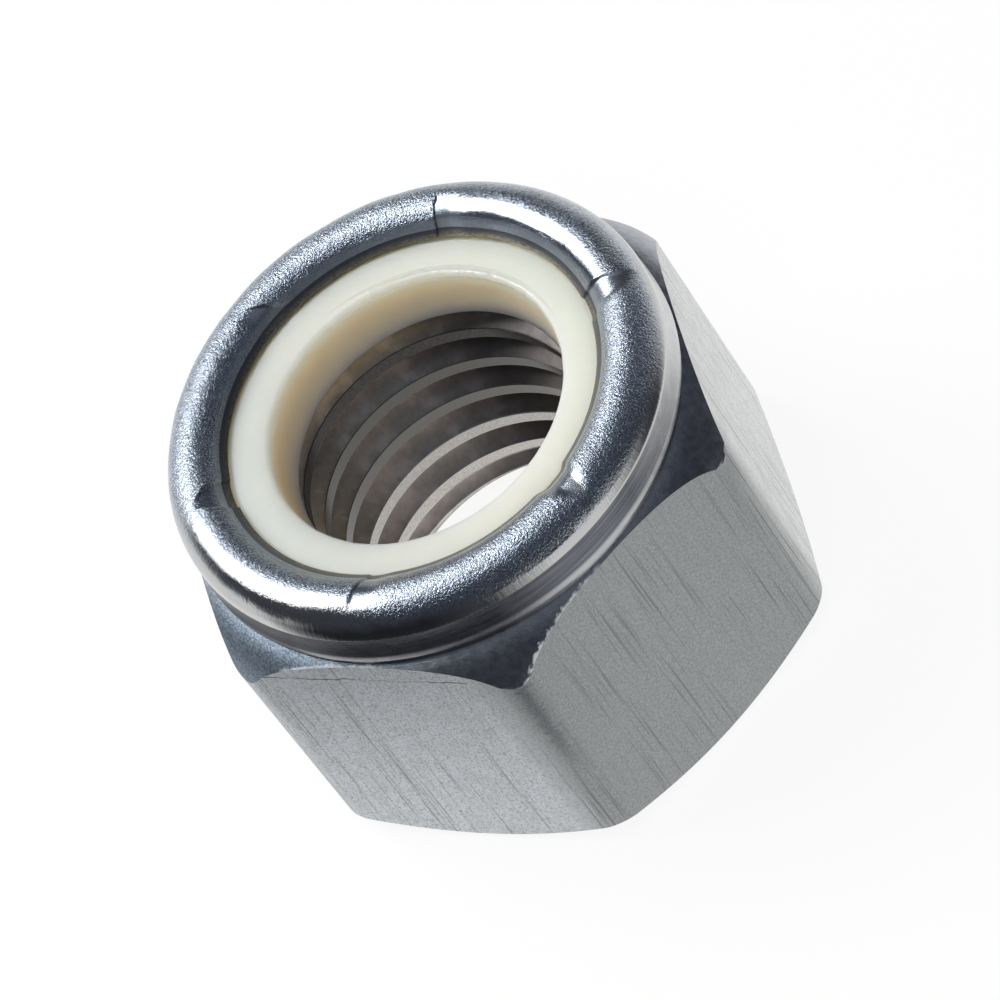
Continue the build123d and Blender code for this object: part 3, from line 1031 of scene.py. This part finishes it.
def makeFloor():
    deselectAll()
    bpy.ops.mesh.primitive_plane_add(size=studio["floorSize"])
    floor = bpy.context.active_object
    floor.name = "studioFloor"
    material = bpy.data.materials.new("paperFloor")
    add = emptyTree(material)
    rays = add("LightPath")
    clear = add("Math", {"operation": "MAXIMUM"},
                {0: rays.outputs["Is Camera Ray"], 1: rays.outputs["Is Transmission Ray"]})
    eye = add("Math", {"operation": "MULTIPLY", 1: studio["cameraWhite"]}, {0: clear})
    share = add("Math", {"operation": "MULTIPLY_ADD", 1: studio["glossyWhite"]},
                {0: rays.outputs["Is Glossy Ray"], 2: eye})
    paper = add("BsdfDiffuse", {"Color": studio["floorColour"]})
    white = add("Emission", {"Color": "#ffffff", "Strength": 1.0})
    mix = add("MixShader", None, {0: share, 1: paper, 2: white})
    add("OutputMaterial", None, {"Surface": mix})
    floor.data.materials.append(material)


def softBox(name, azimuth, elevation, distance, size, power, inGloss):
    light = bpy.data.lights.new(name, "AREA")
    light.shape = "DISK"
    light.size = size
    light.energy = power
    lamp = bpy.data.objects.new(name, light)
    bpy.context.scene.collection.objects.link(lamp)
    lamp.location = direction(azimuth, elevation) * distance
    lamp.rotation_euler = (-lamp.location).to_track_quat("-Z", "Y").to_euler()
    lamp.visible_glossy = inGloss     # the fill is kept out of the steel, and lifts the nylon only


def shadeCard(name, fromTurn, toTurn, radius, height, soft):
    # a curved dim card that only reflections see, so that the polished steel has something to darken in;
    # it fades out at both ends and towards its top
    card = startOutline(name, (radius, 0))
    lineTo((radius, 0), (radius, height))
    bpy.ops.mesh.select_all(action="SELECT")
    bpy.ops.mesh.spin(steps=24, angle=-radians(toTurn - fromTurn), center=(0, 0, 0), axis=(0, 0, 1))
    bpy.ops.object.mode_set(mode="OBJECT")
    card.rotation_euler.z = radians(fromTurn)
    bpy.ops.object.transform_apply(location=False, rotation=True, scale=False)
    material = bpy.data.materials.new("dimCard")
    add = emptyTree(material)
    place = add("TexCoord").outputs["Object"]
    x, y, z = add("SeparateXYZ", None, {0: place}).outputs
    turn = add("Math", {"operation": "ARCTAN2"}, {0: y, 1: x})
    whole = add("Math", {"operation": "WRAP", 1: 2 * pi, 2: 0.0}, {0: turn})
    first = add("MapRange", {1: radians(fromTurn), 2: radians(fromTurn + soft)}, {0: whole})
    last = add("MapRange", {1: radians(toTurn), 2: radians(toTurn - soft)}, {0: whole})
    ends = add("Math", {"operation": "MULTIPLY"}, {0: first, 1: last})
    top = add("MapRange", {1: height * mm, 2: height * 0.75 * mm}, {0: z})
    cover = add("Math", {"operation": "MULTIPLY"}, {0: ends, 1: top})
    glow = add("Emission", {"Color": studio["cardColour"], "Strength": 1.0})
    faded = add("MixShader", None, {0: cover, 1: add("BsdfTransparent"), 2: glow})
    add("OutputMaterial", None, {"Surface": faded})
    card.data.materials.append(material)
    card.visible_camera = False
    card.visible_shadow = False
    card.visible_diffuse = False
    card.visible_transmission = False


def makeWorld():
    # dim blue-grey room, with a pale backdrop low behind the nut
    world = bpy.data.worlds.new("studioWorld")
    bpy.context.scene.world = world
    add = emptyTree(world)
    look = add("TexCoord").outputs["Generated"]
    backdropSide = direction(studio["backdropAzimuth"])
    behind = add("VectorMath", {"operation": "DOT_PRODUCT", 1: backdropSide}, {0: look})
    height = add("SeparateXYZ", None, {0: look}).outputs[2]
    towards = add("MapRange", {1: 0.25, 2: 0.80}, {0: behind})
    low = add("MapRange", {1: 0.02, 2: 0.30, 3: 1, 4: 0}, {0: height})
    backdrop = add("Math", {"operation": "MULTIPLY"}, {0: towards, 1: low})
    high = add("MapRange", {1: 0.75, 2: 1.0}, {0: height})
    room = add("Mix", {"data_type": "RGBA", 6: studio["roomColour"], 7: studio["zenithColour"]}, {0: high})
    colour = add("Mix", {"data_type": "RGBA", 7: studio["backdropColour"]}, {0: backdrop, 6: room})
    background = add("Background", {"Strength": 1.0}, {"Color": colour})
    add("OutputWorld", None, {"Surface": background})


makeFloor()
makeWorld()
for card in cards:
    shadeCard(**card)
for lamp in lamps:
    softBox(**lamp)

view = dict(
    place=(-50.114, -187.421, 232.878),
    azimuth=15.161,             # clockwise from +Y, as the camera looks
    elevation=49.112,           # below the horizon
    roll=36.214,
    lens=238.97,
    sensor=36,
    nearest=0.01,               # metres
)


def makeCamera():
    data = bpy.data.cameras.new("camera")
    data.lens = view["lens"]
    data.sensor_width = view["sensor"]
    data.clip_start = view["nearest"]
    camera = bpy.data.objects.new("camera", data)
    bpy.context.scene.collection.objects.link(camera)
    camera.location = Vector(view["place"]) * mm
    look = Euler((radians(90 - view["elevation"]), 0, radians(-view["azimuth"])), "XYZ").to_matrix()
    spin = Matrix.Rotation(radians(-view["roll"]), 3, "Z")
    camera.rotation_euler = (look @ spin).to_euler()
    bpy.context.scene.camera = camera


makeCamera()
bpy.context.scene.view_settings.view_transform = "Standard"
print("stage set")
